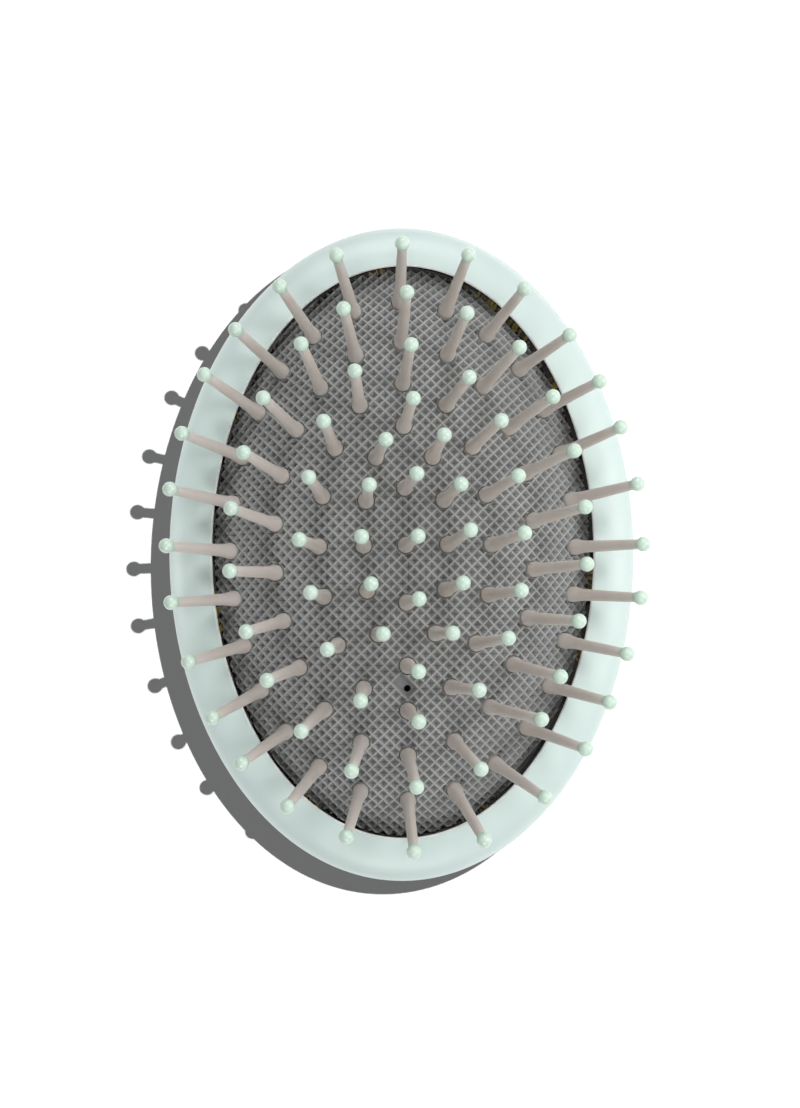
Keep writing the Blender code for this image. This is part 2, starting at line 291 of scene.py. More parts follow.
def makeRubber():
    made, nodes, links, shader = newMaterial("greyRubber")
    height = nodes.new("ShaderNodeAttribute")
    height.attribute_name = "ridge"
    fine = addNoise(nodes, links, rubberFace["fineScale"], 4.0, 0.65)
    # painted shade darkens the floors of the pits and a painted highlight makes the ridges' tops palest,
    # with dust in patches
    slope = addBlend(nodes, links, height.outputs["Fac"], 0.0, 0.75, rubberFace["pitShade"], rubberFace["slope"])
    pitShadeRidgeLight = addBlend(nodes, links, height.outputs["Fac"], 0.86, 0.97, slope, rubberFace["ridge"])
    dusty = addBlend(nodes, links, fine, 0.52, 0.75, pitShadeRidgeLight, rubberFace["dust"], rubberFace["mostDust"])
    links.new(dusty, shader.inputs["Base Color"])
    addRoughness(nodes, links, fine, shader, rubberFace["roughness"])
    addBump(nodes, links, fine, shader, rubberFace)
    shader.inputs["Specular IOR Level"].default_value = rubberFace["specular"]
    return made


amberGlue = {
    "colour": (0.26, 0.18, 0.015),
    "thin": (0.50, 0.40, 0.05),
    # dark: a near-black painted shade for the glue in the gap and the sheet on the wall
    "dark": (0.012, 0.011, 0.008),
    "cloudScale": 900.0, "bump": 0.4, "bumpDepth": 0.15,
    "roughness": 0.22,
    "specular": 0.25,
}


def makeGlue():
    made, nodes, links, shader = newMaterial("amberGlue")
    cloud = addNoise(nodes, links, amberGlue["cloudScale"], 3.0)
    colour = addBlend(nodes, links, cloud, 0.4, 0.65, amberGlue["colour"], amberGlue["thin"])
    squeezed = nodes.new("ShaderNodeAttribute")
    squeezed.attribute_name = "squeezed"
    # amber shows where the glue is squeezed out; the rest is painted near-black as shade in the gap
    shown = addBlend(nodes, links, squeezed.outputs["Fac"], 0.15, 0.6, amberGlue["dark"], colour)
    links.new(shown, shader.inputs["Base Color"])
    shader.inputs["Roughness"].default_value = amberGlue["roughness"]
    addBump(nodes, links, cloud, shader, amberGlue)
    shader.inputs["Specular IOR Level"].default_value = amberGlue["specular"]
    return made


innerPlastic = {
    "colour": (0.60, 0.63, 0.61),
    "drift": (0.54, 0.57, 0.55),
    "cloudScale": 90.0, "grainScale": 1800.0, "bump": 0.15, "bumpDepth": 0.05,
    "roughness": (0.5, 0.62),
}


def makeInnerPlastic():
    made, nodes, links, shader = newMaterial("plainInnerPlastic")
    cloud = addNoise(nodes, links, innerPlastic["cloudScale"], 3.0)
    colour = addBlend(nodes, links, cloud, 0.35, 0.65, innerPlastic["colour"], innerPlastic["drift"])
    links.new(colour, shader.inputs["Base Color"])
    grain = addNoise(nodes, links, innerPlastic["grainScale"], 3.0)
    addRoughness(nodes, links, grain, shader, innerPlastic["roughness"])
    addBump(nodes, links, grain, shader, innerPlastic)
    return made


mint = makeMintPlastic()
tipPaint = makeTipPaint()
nylon = makePinNylon()
rubber = makeRubber()
glue = makeGlue()
plainPlastic = makeInnerPlastic()
print("materials ready")


# The frame's opening, in millimetres: the oval that the rings and the bowl are set out from
opening = {"halfWidth": 32.8, "halfLength": 49.3, "segments": 192}


def sweepOval(name, section, closed, segments=opening["segments"]):
    # an oval loop is extruded along the section, given as points of offset from the opening and height
    deselectAll()
    bpy.ops.mesh.primitive_circle_add(vertices=segments, radius=mm, fill_type="NOTHING")
    obj = startPiece(name)
    wide, long, high = 1.0, 1.0, 0.0
    for number, (offset, height) in enumerate(section):
        newWide = opening["halfWidth"] + offset
        newLong = opening["halfLength"] + offset
        if number:
            bpy.ops.mesh.extrude_edges_move()
        bpy.ops.transform.resize(value=(newWide / wide, newLong / long, 1.0), center_override=(0, 0, 0))
        bpy.ops.transform.translate(value=(0, 0, (height - high) * mm))
        wide, long, high = newWide, newLong, height
    # the first and the last loop are joined to close a ring, or filled to close a bowl
    selectWhere(obj, "EDGE", lambda edge: edge.is_boundary)
    if closed:
        bpy.ops.mesh.bridge_edge_loops()
    else:
        bpy.ops.mesh.edge_face_add()
    bpy.ops.mesh.select_all(action="SELECT")
    bpy.ops.mesh.normals_make_consistent(inside=False)
    endPiece(obj)
    return obj


def fromOpening(place):
    # the angle round the opening, the opening's edge there, and how far out of it the place lies
    angle = math.atan2(place.y / opening["halfLength"], place.x / opening["halfWidth"])
    edge = Vector((opening["halfWidth"] * math.cos(angle), opening["halfLength"] * math.sin(angle)))
    return angle, edge, place.xy.length / mm - edge.length


def arcPoints(middle, reach, startDegrees, endDegrees, steps):
    points = []
    for i in range(steps + 1):
        angle = math.radians(startDegrees + (endDegrees - startDegrees) * i / steps)
        points.append((middle[0] + reach[0] * math.cos(angle), middle[1] + reach[1] * math.sin(angle)))
    return points


# Front frame: the mint ring round the rubber, with a soft crown and a crisp inner edge
bezel = {
    "width": 7.5, "seam": 21.3, "skirtTop": 22.8, "rise": 3.8, "crownInset": 1.3, "edgeRadius": 0.45,
    "wall": 2.0, "innerWall": 1.8, "wallFoot": 22.8, "overTongue": 22.6, "skirtInside": 6.6,
    "behindTongue": 5.0, "seamRadius": 0.25, "undercut": 1.0, "firstUndercut": 0.35,
    # the last two set the band of the painted highlight along the inner edge
    "firstDrop": 0.7, "fullFrom": 1.2, "highlightWidth": 0.3, "highlightDepth": 0.8,
}


def makeFrontFrame():
    b = bezel
    top = b["skirtTop"] + b["rise"]
    radius = b["edgeRadius"]
    seamCorner = (b["width"] - b["seamRadius"], b["seam"] + b["seamRadius"])
    foot = arcPoints(seamCorner, (b["seamRadius"],) * 2, -90, 0, 4)
    crownReach = (b["width"] - b["crownInset"], b["rise"])
    crown = arcPoints((b["crownInset"], b["skirtTop"]), crownReach, 0, 90, 22)
    edge = arcPoints((radius, top - radius), (-radius, radius), 90, -20, 8)
    # the wall behind the edge falls back, so the gap under it stays dark
    wallFoot = [
        (b["undercut"] * b["firstUndercut"], top - radius - b["firstDrop"]),
        (b["undercut"], b["wallFoot"] + b["fullFrom"]),
        (b["undercut"], b["wallFoot"]),
        (b["innerWall"], b["wallFoot"]),
    ]
    reach = (b["behindTongue"] - b["innerWall"], top - b["wall"] - b["overTongue"])
    hollow = arcPoints((b["innerWall"], b["overTongue"]), reach, 90, 0, 6)
    lap = [(b["skirtInside"], b["overTongue"]), (b["skirtInside"], b["seam"])]
    obj = sweepOval("frontFrame", foot + crown + edge + wallFoot + hollow + lap, True)
    smoothByAngle(obj, 35)
    markPaintedHighlight(obj, top)
    return obj


def markPaintedHighlight(obj, top):
    # 1 along the thin edge over the rubber, where a paler colour is painted on as a highlight
    mark = obj.data.attributes.new("rim", "FLOAT", "POINT")
    lowest = (top - bezel["highlightDepth"]) * mm
    for vert in obj.data.vertices:
        offset = fromOpening(vert.co)[2]
        mark.data[vert.index].value = float(offset < bezel["highlightWidth"] and vert.co.z > lowest)


# Back shell: the palm side, a shallow bowl that ends in the flat it rests on
bowl = {
    "width": 7.5, "seam": 21.0, "restInset": 14.0, "wall": 2.2, "tongueWall": 1.0, "tongueHeight": 1.3,
    "ledgeTop": 18.0, "ledgeHeight": 0.8, "ledgeReach": 1.7, "seamRadius": 0.25,
}


def makeBackShell():
    b = bowl
    middle = (-b["restInset"], b["seam"])
    reach = b["width"] + b["restInset"]
    depth = b["seam"] - b["wall"]
    outside = arcPoints(middle, (reach, -b["seam"]), 90, 2, 30)
    seamCorner = (b["width"] - b["seamRadius"], b["seam"] - b["seamRadius"])
    rim = arcPoints(seamCorner, (b["seamRadius"],) * 2, 0, 90, 4)
    inWall = b["width"] - b["wall"]
    tongue = [
        (inWall + b["tongueWall"], b["seam"]),
        (inWall + b["tongueWall"], b["seam"] + b["tongueHeight"]),
        (inWall, b["seam"] + b["tongueHeight"]),
    ]
    ledgeFoot = b["ledgeTop"] - b["ledgeHeight"]
    ledgeEdge = inWall - b["ledgeReach"]
    ledge = [(inWall, b["ledgeTop"]), (ledgeEdge, b["ledgeTop"]), (ledgeEdge, ledgeFoot)]
    ledgeRoot = math.degrees(math.asin((b["seam"] - ledgeFoot + b["ledgeReach"]) / depth))
    inside = arcPoints(middle, (reach - b["wall"], -depth), ledgeRoot, 90, 10)
    obj = sweepOval("backShell", outside + rim + tongue + ledge + inside, False)
    smoothByAngle(obj, 35)
    return obj


frontFrame = makeFrontFrame()
backShell = makeBackShell()
for piece, node in ((frontFrame, "front_frame"), (backShell, "back_shell")):
    piece.data.materials.append(mint)
    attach(piece, "housing")
    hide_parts(node)
print("housing made")

# The backing plate is out of sight and keeps its own solid
backingPlate = frame["nodes"]["backing_plate"]
if not backingPlate.data.materials:
    backingPlate.data.materials.append(plainPlastic)
for materialSlot in backingPlate.material_slots:
    materialSlot.link = "OBJECT"
    materialSlot.material = plainPlastic


# The rubber dome: its face is rim + height * (1 - share ** 3), where share is 1 at the rim oval
dome = {
    "halfWidth": 32.0, "halfLength": 48.5, "height": 10.0, "rim": 23.0, "wall": 1.6,
    "pastRim": (0.65, 0.8), "mostPast": 55,
}


def domeFace(x, y):
    # height of the face over x, y and the direction square to it, all in millimetres
    share = np.hypot(x / dome["halfWidth"], y / dome["halfLength"])
    height = dome["rim"] + dome["height"] * (1 - share**3)
    fall = 3 * dome["height"] * share
    across = fall * x / dome["halfWidth"] ** 2
    along = fall * y / dome["halfLength"] ** 2
    square = np.stack([across, along, np.ones_like(x)], -1)
    return height, square / np.linalg.norm(square, axis=-1, keepdims=True)


def arcShare(share, steep):
    # way along the domed face over a ray, as a share of the ray's length in plan
    return share + steep**2 * share**5 / 10 - steep**4 * share**9 / 72 + steep**6 * share**13 / 208


def ontoDome(flat):
    # lays points of the flat moulded sheet on the dome, keeping their distance from the middle
    u, v, depth = flat[:, 0], flat[:, 1], flat[:, 2]
    far = np.hypot(u, v)
    safe = np.maximum(far, 1e-9)
    ray = 1.0 / np.hypot(u / safe / dome["halfWidth"], v / safe / dome["halfLength"])
    ray = np.where(far < 1e-9, dome["halfWidth"], ray)
    steep = 3 * dome["height"] / ray
    share = far / ray
    for _ in range(12):
        slope = np.sqrt(1 + (steep * share**2) ** 2)
        share = share - (arcShare(share, steep) - far / ray) / slope
    x, y = share * ray * u / safe, share * ray * v / safe
    height, square = domeFace(x, y)
    return np.stack([x, y, height], -1) + square * depth[:, None]


def flatRim(angle):
    # where the edge of the flat sheet lies: past the dome's rim, and most so at one side
    ray = 1.0 / math.hypot(math.cos(angle) / dome["halfWidth"], math.sin(angle) / dome["halfLength"])
    least, more = dome["pastRim"]
    past = least + more * (0.5 + 0.5 * math.cos(angle - math.radians(dome["mostPast"])))
    return ray * arcShare(1.0, 3 * dome["height"] / ray) + past


# Pin pattern: four ovals round a middle row, by the same law as the solids
pattern = {
    "halfWidth": 29.6, "halfLength": 42.8, "pitch": 7.5, "turnDegrees": 1.0,
    "rings": {"outer": 28, "second": 22, "third": 16, "inner": 12},
    "rowPins": 3, "rowSpacing": 9.7, "vent": (0.4, -24.2),
    "quarters": ("top_left", "bottom_left", "bottom_right", "top_right"),
}

# How each oval's pins stand off square, and what single pins add to that, in millimetres at the tip
lean = {
    "outer": {
        "all": (0.0, -0.2), 4: (0.0, 1.0), 6: (0.05, 0.0), 7: (0.05, 0.0), 8: (0.05, 0.0), 9: (1.0, -0.5),
        10: (1.0, -0.8), 14: (0.0, -1.0), 15: (0.8, -1.4), 16: (1.5, 0.7), 17: (0.8, 1.6), 18: (-0.8, 1.0),
        19: (-1.4, 0.0), 20: (-0.8, 0.0), 21: (-0.8, -0.5), 22: (-0.8, 0.2), 23: (-1.5, 0.3),
        24: (-1.2, -1.0), 25: (-0.4, -1.5), 26: (-0.3, -0.8),
    },
    "second": {
        "all": (0.4, 0.3), 2: (1.0, 0.7), 5: (-0.8, 0.3), 6: (-1.2, -0.6), 7: (0.0, -1.2), 13: (2.6, 1.4),
        21: (-0.7, -1.0),
    },
    "third": {
        "all": (0.8, 0.5), 4: (-1.0, -0.8), 8: (0.0, 1.0), 9: (0.6, 1.6), 10: (0.3, 1.6), 15: (0.1, -1.2),
    },
    "inner": {"all": (0.9, 0.4), 1: (1.1, -0.7), 3: (-1.0, -0.4), 9: (1.0, 0.6), 11: (-0.8, 0.0)},
    "centre": {"all": (1.2, 0.0)},
}


def pinFeet():
    # for each strip: its label, its body, its line in plan, the line's length, its two ends and its pins
    turn = Matrix.Rotation(math.radians(pattern["turnDegrees"]), 2)
    strips = []
    for number, (ring, count) in enumerate(pattern["rings"].items()):
        wide = pattern["halfWidth"] - number * pattern["pitch"]
        long = pattern["halfLength"] - number * pattern["pitch"]
        angles = np.linspace(0, 2 * math.pi, 1441)
        xs, ys = -wide * np.sin(angles), long * np.cos(angles)
        way = np.concatenate(([0.0], np.cumsum(np.hypot(np.diff(xs), np.diff(ys)))))

        # the oval's own values are held as defaults, for the loop moves on
        def point(share, wide=wide, long=long, way=way, angles=angles):
            angle = np.interp((share % 1.0) * way[-1], way, angles)
            return turn @ Vector((-wide * math.sin(angle), long * math.cos(angle)))

        for quarter, side in enumerate(pattern["quarters"]):
            first = math.ceil(count * quarter / 4)
            last = math.ceil(count * (quarter + 1) / 4) - 1
            over = band["pastPin"] / way[-1]
            ends = (first / count - over, last / count + over)
            pins = [(pin / count, ownLean(ring, pin)) for pin in range(first, last + 1)]
            strips.append((f"{ring}_{side}", f"{ring}_pins", point, float(way[-1]), ends, pins))

    half = pattern["rowSpacing"] * (pattern["rowPins"] - 1) / 2

    def rowPoint(share):
        return turn @ Vector((0.0, half - 2 * half * share))

    pins = [(pin / (pattern["rowPins"] - 1), ownLean("centre", pin)) for pin in range(pattern["rowPins"])]
    over = band["pastPin"] / (2 * half)
    strips.append(("centre", "centre_pins", rowPoint, 2 * half, (-over, 1 + over), pins))
    return strips


def ownLean(ring, pin):
    shared, own = lean[ring]["all"], lean[ring].get(pin, (0.0, 0.0))
    return Vector((shared[0] + own[0], shared[1] + own[1], 0.0)) / pinShape["length"]


def onFace(x, y):
    height, square = domeFace(np.array(float(x)), np.array(float(y)))
    return Vector((x, y, float(height))), Vector([float(part) for part in square])


def standing(place, leaning):
    # where a pin stands and how it points
    foot, square = onFace(*place)
    return Matrix.Translation(foot * mm) @ (square + leaning).to_track_quat("Z", "Y").to_matrix().to_4x4()


# The waffle: square cells at 45 degrees, thin raised ridges and sunk four-sided pits
waffle = {
    "cell": 1.39, "cells": 66, "ridge": 0.17, "pitDepth": 0.80, "pitFloor": 0.14, "spare": 1.2,
    "ventField": (-2.0, 1.2), "ventRadius": 0.6,  # the field counted in cells
    "smoothFrom": -66, "smoothTo": 8, "smoothWidth": 0.6, "smoothDepth": 0.15,  # from and to in degrees
    "hole": 1.55, "holeSides": 24, "holeWall": 0.07, "holeWallDepth": 1.3,
}


def makeCushion(strips):
    w = waffle
    deselectAll()
    size = w["cells"] * w["cell"] * mm
    bpy.ops.mesh.primitive_grid_add(x_subdivisions=w["cells"], y_subdivisions=w["cells"], size=size)
    obj = startPiece("cushionFace")
    bpy.ops.transform.rotate(value=math.radians(45), orient_axis="Z", center_override=(0, 0, 0))
    vent = Vector(pattern["vent"])
    # the lattice is slid so that one of its crossings lies at the vent
    step = w["cell"] / math.sqrt(2)
    slide = Vector((vent.x % (2 * step), vent.y % (2 * step)))
    bpy.ops.transform.translate(value=(slide.x * mm, slide.y * mm, 0))

    def toRim(face):
        # how far the middle of the face lies inside the rim of the flat sheet, and on which side
        middle = face.calc_center_median() / mm
        angle = math.atan2(middle.y, middle.x)
        return flatRim(angle) - middle.xy.length, math.degrees(angle)

    selectWhere(obj, "FACE", lambda face: toRim(face)[0] < -w["spare"])
    bpy.ops.mesh.delete(type="FACE")
    bpy.ops.object.mode_set(mode="OBJECT")
    applyModifier(obj, "SOLIDIFY", thickness=dome["wall"] * mm, offset=-1.0)
    bpy.ops.object.mode_set(mode="EDIT")

    def nearVent(face):
        away = (face.calc_center_median().xy / mm - vent) / (w["cell"] * math.sqrt(2))
        low, high = w["ventField"]
        return face.normal.z > 0.5 and low < away.x - away.y < high and abs(away.x + away.y) < 1

    # the cells round the vent become one plain field
    selectWhere(obj, "FACE", nearVent)
    bpy.ops.mesh.dissolve_faces()

    def leftSmooth(face):
        inside, side = toRim(face)
        return face.normal.z > 0.5 and w["smoothFrom"] < side < w["smoothTo"] and inside < w["smoothWidth"]

    def pitted(face):
        return face.normal.z > 0.5 and not leftSmooth(face)

    selectWhere(obj, "FACE", pitted)
    bpy.ops.mesh.inset(thickness=w["ridge"] / 2 * mm, depth=0, use_individual=True)
    slant = (w["cell"] - w["ridge"] - w["pitFloor"]) / 2
    bpy.ops.mesh.inset(thickness=slant * mm, depth=-w["pitDepth"] * mm, use_individual=True)
    # on the lower right the waffle stops short and leaves a plain sunk border
    wholeCell = (w["cell"] * mm) ** 2 * 0.9
    selectWhere(obj, "FACE", lambda face: leftSmooth(face) and face.calc_area() > wholeCell)
    bpy.ops.mesh.inset(thickness=w["ridge"] / 2 * mm, depth=-w["smoothDepth"] * mm, use_individual=False)
    bpy.ops.object.mode_set(mode="OBJECT")

    # the flat sheet is cut to the rim, laid on the dome and drilled
    deselectAll()
    bpy.ops.mesh.primitive_cylinder_add(vertices=opening["segments"], radius=mm, depth=8 * mm)
    rim = startPiece("rimCutter")
    bm = bmesh.from_edit_mesh(rim.data)
    for vert in bm.verts:
        reach = flatRim(math.atan2(vert.co.y, vert.co.x))
        vert.co.x, vert.co.y = vert.co.x * reach, vert.co.y * reach
    bmesh.update_edit_mesh(rim.data)
    endPiece(rim)
    cutWith(obj, rim, "INTERSECT")

    flat = np.zeros(len(obj.data.vertices) * 3)
    obj.data.vertices.foreach_get("co", flat)
    laid = ontoDome(flat.reshape(-1, 3) / mm)
    obj.data.vertices.foreach_set("co", (laid * mm).ravel())
    obj.data.update()

    # each pin hole has a thin round wall, filled in first and then drilled out
    holes = [makeDrill(pattern["vent"], Vector(), w["ventRadius"])]
    walls = []
    wallSpan = (-w["holeWallDepth"], 0.0)
    for _, _, point, _, _, pins in strips:
        for share, leaning in pins:
            holes.append(makeDrill(point(share), leaning, w["hole"]))
            walls.append(makeDrill(point(share), leaning, w["hole"] + w["holeWall"], wallSpan))
    cutWith(obj, joinPieces(walls, "walls"), "UNION")
    cutWith(obj, joinPieces(holes, "holes"), "DIFFERENCE")
    return obj


def makeDrill(place, leaning, radius, span=(-3.5, 3.5)):
    # a round rod through the rubber, between two depths below and above its face
    deselectAll()
    low, high = span
    sides = waffle["holeSides"]
    bpy.ops.mesh.primitive_cylinder_add(vertices=sides, radius=radius * mm, depth=(high - low) * mm)
    drill = bpy.context.object
    drill.data.transform(standing(place, leaning) @ Matrix.Translation((0, 0, (low + high) / 2 * mm)))
    return drill


def markRidges(obj):
    # 1 on the ridges' tops, 0 at the floor of a pit and below, for the rubber's painted pit shade and ridge
    # highlight
    places = np.zeros(len(obj.data.vertices) * 3)
    obj.data.vertices.foreach_get("co", places)
    places = places.reshape(-1, 3) / mm
    height, square = domeFace(places[:, 0], places[:, 1])
    depth = (height - places[:, 2]) * square[:, 2]
    level = np.clip(1 - depth / waffle["pitDepth"], 0, 1)
    mark = obj.data.attributes.new("ridge", "FLOAT", "POINT")
    mark.data.foreach_set("value", level.astype(np.float32))


# Pins, in millimetres along the pin from the rubber's face
# A point of the shoulder is a share of the foot's radius and a height
pinShape = {
    "foot": 1.37, "shaft": 0.82, "length": 17.7, "ballRadius": 1.25, "sides": 24,
    "root": -2.7, "neckShare": 0.86, "neckTop": -0.7,
    "shoulder": ((0.94, -0.45), (1.0, -0.1), (1.0, 0.35), (0.985, 0.8)),
    "flareTop": 1.0, "flareHeight": 2.9, "flareBend": 0.9, "underBall": 0.9,
    "shaftEnd": ((0.7, 0.5), (0.0, 0.4)), "turnStep": 71,
}

# The fine line that the mould leaves down each side of a pin
partingLine = {"within": 0.02, "beyond": 0.3, "above": -0.2, "grown": 1.035}

# The ball tip moulded on each pin: a hollow that sits on the shaft, a collar and the ball
ballTip = {"hollow": 1.02, "collar": ((0.96, 1.3), (1.05, 1.22)), "fromDegrees": -48, "steps": 12}

# The strip under the rubber that a row of pins stands on
band = {"width": 3.0, "below": 1.9, "thickness": 1.3, "edge": 0.15, "step": 1.6, "pastPin": 2.2}


def turnPiece(name, profile, sides):
    # one point is extruded along the profile and spun round
    deselectAll()
    bpy.ops.mesh.primitive_plane_add(size=mm)
    obj = startPiece(name)
    bpy.ops.mesh.select_mode(type="VERT")
    bpy.ops.mesh.merge(type="CENTER")
    here = (0.0, 0.0)
    for number, (radius, height) in enumerate(profile):
        step = ((radius - here[0]) * mm, 0, (height - here[1]) * mm)
        if number:
            bpy.ops.mesh.extrude_region_move(TRANSFORM_OT_translate={"value": step})
        else:
            bpy.ops.transform.translate(value=step)
        here = (radius, height)
    bpy.ops.mesh.select_all(action="SELECT")
    bpy.ops.mesh.spin(steps=sides, angle=2 * math.pi, center=(0, 0, 0), axis=(0, 0, 1))
    bpy.ops.mesh.select_all(action="SELECT")
    bpy.ops.mesh.remove_doubles(threshold=0.001 * mm)
    bpy.ops.mesh.normals_make_consistent(inside=False)
    endPiece(obj)
    return obj


def pinProfile():
    p = pinShape
    ball = p["length"] - p["ballRadius"]
    # a rounded shoulder stands on the rubber, over a neck that goes through the hole
    neck = p["foot"] * p["neckShare"]
    points = [(0.0, p["root"]), (neck, p["root"]), (neck, p["neckTop"])]
    points += [(p["foot"] * share, height) for share, height in p["shoulder"]]
    # the flare sinks in a hollow curve to the shaft
    wide, low = points[-1]
    for i in range(1, 7):
        share = i / 6
        sunk = math.sin(share * math.pi / 2) ** p["flareBend"]
        points.append((wide + (p["flareTop"] - wide) * sunk, low + p["flareHeight"] * share))
    # the shaft tapers to the ball, and its end is closed inside it
    wide, low = points[-1]
    high = ball - p["underBall"]
    for i in range(1, 5):
        share = i / 4
        points.append((wide + (p["shaft"] - wide) * share, low + (high - low) * share))
    points += [(p["shaft"] * share, ball - down) for share, down in p["shaftEnd"]]
    return points


def tipProfile():
    radius = pinShape["ballRadius"]
    ball = pinShape["length"] - radius
    start, steps = ballTip["fromDegrees"], ballTip["steps"]
    points = [(0.0, ball - ballTip["hollow"])]
    points += [(pinShape["shaft"] * share, ball - down) for share, down in ballTip["collar"]]
    points += arcPoints((0.0, ball), (radius, radius), start, 90, steps)
    points[-1] = (0.0, pinShape["length"])
    return points


def makeBand(name, point, length, ends):
    # a flat grid is laid along the line of pins, under the rubber, and thickened
    steps = round((ends[1] - ends[0]) * length / band["step"])
    deselectAll()
    bpy.ops.mesh.primitive_grid_add(x_subdivisions=2, y_subdivisions=steps, size=mm)
    obj = bpy.context.object
    obj.name = name
    step = (ends[1] - ends[0]) / steps
    for vert in obj.data.vertices:
        across = vert.co.x / mm * band["width"]
        share = ends[0] + (vert.co.y / mm + 0.5) * (ends[1] - ends[0])
        along = point(share + step / 2) - point(share - step / 2)
        aside = Vector((along.y, -along.x)).normalized() * across
        face, square = onFace(*(point(share) + aside))
        vert.co = (face - square * band["below"]) * mm
    applyModifier(obj, "SOLIDIFY", thickness=band["thickness"] * mm, offset=-1.0, use_even_offset=True)
    applyModifier(obj, "BEVEL", width=band["edge"] * mm, segments=2, limit_method="ANGLE")
    return obj


def raisePartingLines(obj):
    within, beyond = partingLine["within"] * mm, partingLine["beyond"] * mm

    def onLine(vert):
        return abs(vert.co.x) < within and abs(vert.co.y) > beyond and vert.co.z > partingLine["above"] * mm

    makeActive(obj)
    bpy.ops.object.mode_set(mode="EDIT")
    selectWhere(obj, "VERT", onLine)
    bpy.ops.transform.resize(value=(1.0, partingLine["grown"], 1.0), center_override=(0, 0, 0))
    bpy.ops.object.mode_set(mode="OBJECT")


def makePins(strips):
    pin = turnPiece("pin", pinProfile(), pinShape["sides"])
    raisePartingLines(pin)
    tip = turnPiece("tip", tipProfile(), pinShape["sides"])
    made = []
    for label, body, point, length, ends, pins in strips:
        shafts, tips = [], []
        for number, (share, leaning) in enumerate(pins):
            # each pin is turned in its hole by its own amount
            turned = Matrix.Rotation(math.radians(pinShape["turnStep"] * number + 360 * ends[0]), 4, "Z")
            place = standing(point(share), leaning) @ turned
            for source, pile in ((pin, shafts), (tip, tips)):
                copy = source.copy()
                copy.data = source.data.copy()
                bpy.context.scene.collection.objects.link(copy)
                copy.data.transform(place)
                pile.append(copy)
        carrier = makeBand("carrier", point, length, ends)
        strip = joinPieces([carrier] + shafts, f"pins_{label}")
        balls = joinPieces(tips, f"tips_{label}")
        smoothByAngle(strip, 50)
        smoothByAngle(balls, 60)
        strip.data.materials.append(nylon)
        balls.data.materials.append(tipPaint)
        for piece in (strip, balls):
            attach(piece, body)
        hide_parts(f"pin_strip_{label}")
        made += [strip, balls]
    for source in (pin, tip):
        bpy.data.objects.remove(source, do_unlink=True)
    return made


strips = pinFeet()
cushionFace = makeCushion(strips)
markRidges(cushionFace)
cushionFace.data.materials.append(rubber)
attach(cushionFace, "housing")
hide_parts("cushion")
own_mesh(cushionFace)
print("rubber face made:", len(cushionFace.data.polygons), "faces")

# Below the rim the rubber turns down and out under the frame as a lip
skirt = {
    "out": -0.8, "in": -2.2, "lipTop": 21.6, "lipFoot": 20.0, "reach": 3.6, "top": 22.9,
    "topCorner": (0.1, 0.15), "lipCorner": 0.2, "wallTop": 1.4, "underFace": (0.9, 0.5),
}


def makeSkirt():
    s = skirt
    section = [
        (s["out"] - s["topCorner"][0], s["top"]),
        (s["out"], s["top"] - s["topCorner"][1]),
        (s["out"], s["lipTop"] + s["lipCorner"]),
        (s["out"] + s["lipCorner"], s["lipTop"]),
        (s["reach"], s["lipTop"]),
        (s["reach"], s["lipFoot"]),
        (s["in"], s["lipFoot"]),
        (s["in"], s["top"] - s["wallTop"]),
        (s["out"] - s["underFace"][0], s["top"] - s["underFace"][1]),
    ]
    obj = sweepOval("cushionLip", section, True)
    smoothByAngle(obj, 50)
    return obj


cushionLip = makeSkirt()
cushionLip.data.materials.append(rubber)
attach(cushionLip, "housing")
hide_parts("cushion")

# Glue: a line under the frame, squeezed out into the gap here and there, and a near-black sheet up the wall
# under the frame's edge as painted shade
glueLine = {
    "inner": -0.45, "outer": 1.6, "foot": 21.5, "head": 22.3, "segments": 1080,
    "shoulder": 0.9, "round": 0.2, "slack": 0.05,
    # this row shapes a thin near-black sheet up the wall under the frame's edge, put there as painted shade
    "shadeSheet": 0.15, "sunk": 0.2, "shadeSheetFoot": 0.3, "bend": 2.5, "tip": 1.2,
    "moved": 0.6, "over": 0.1, "outShare": 0.9, "upShare": 1.3, "wetShare": 2.5,
    # where it comes out: angle, half width and reach
    "squeezed": {
        "topRight": (58, 10, 0.55), "rightTop": (36, 3, 0.35), "right": (-4, 2.5, 0.65),
        "rightLow": (-22, 2, 0.3), "left": (193, 5, 0.45), "leftTop": (150, 4, 0.25),
        "lowerLeft": (241, 3, 0.55), "top": (97, 4, 0.3), "bottom": (292, 5, 0.3),
    },
    # how it is broken into lumps: waves round the oval, start and size
    "lumpLevel": 0.35,
    "lumps": ((83, 0, 0.3), (191, 40, 0.35), (317, 10, 0.35)),
}


def squeezeAt(angle):
    # how far the glue comes out at an angle round the oval, in lumps
    out = 0.0
    for middle, spread, reach in glueLine["squeezed"].values():
        away = (angle - middle + 180) % 360 - 180
        out += reach * math.exp(-((away / spread) ** 2))
    lumps = glueLine["lumpLevel"]
    for waves, start, size in glueLine["lumps"]:
        lumps += size * math.sin(math.radians(angle * waves + start))
    return out * max(0.0, lumps)


